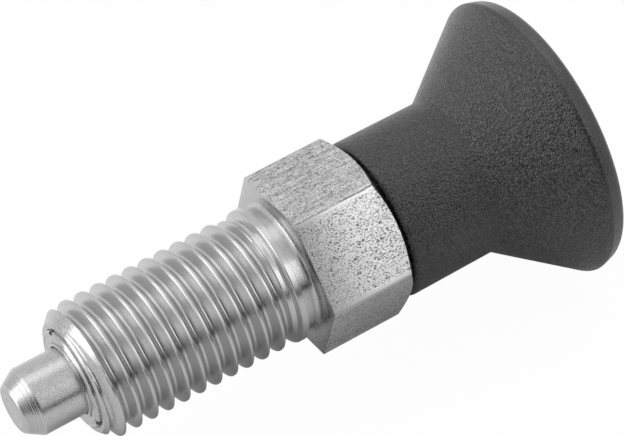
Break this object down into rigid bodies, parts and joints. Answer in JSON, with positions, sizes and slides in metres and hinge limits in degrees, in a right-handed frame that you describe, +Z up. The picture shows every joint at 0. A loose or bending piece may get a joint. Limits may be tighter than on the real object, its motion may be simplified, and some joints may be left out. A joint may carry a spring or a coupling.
{
  "type": "indexing plunger",
  "caption": "Spring-loaded locking pin in a threaded hexagon body, drawn back by a flared pull knob.",
  "frame": {"origin": "on the axis of the plunger, in the plane of the hexagon's seat face, which is the face that meets the plate it is screwed into", "axes": "+X along the axis from the pin towards the knob, so the pin and the thread point along -X; +Z up, with two of the hexagon's flats level"},
  "size_m": [0.0529, 0.025, 0.025],
  "materials": {
    "body_steel": "stainless steel, turned thread and drawn hexagon flats with fine dark pits",
    "bush_steel": "stainless steel, finely turned face",
    "spring_steel": "drawn stainless spring wire",
    "pin_steel": "stainless steel, ground satin, turned cone at the tip",
    "knob_plastic": "grey-black moulded thermoplastic with a fine leather-like grain"
  },
  "bodies": {
    "housing": {"threaded_body": "body_steel", "guide_bush": "bush_steel"},
    "return_spring": {"spring": "spring_steel"},
    "plunger": {"locking_pin": "pin_steel", "knob": "knob_plastic"}
  },
  "joints": [
    {"name": "turn", "type": "hinge", "parent": "housing", "child": "return_spring", "pos_m": [0, 0, 0], "axis": [1, 0, 0], "continuous": true},
    {"name": "pull", "type": "slide", "parent": "return_spring", "child": "plunger", "axis": [1, 0, 0], "range_m": [0, 0.006], "stiffness_N_per_m": 1300, "springref_m": -0.0046, "deforming": ["spring"]}
  ]
}
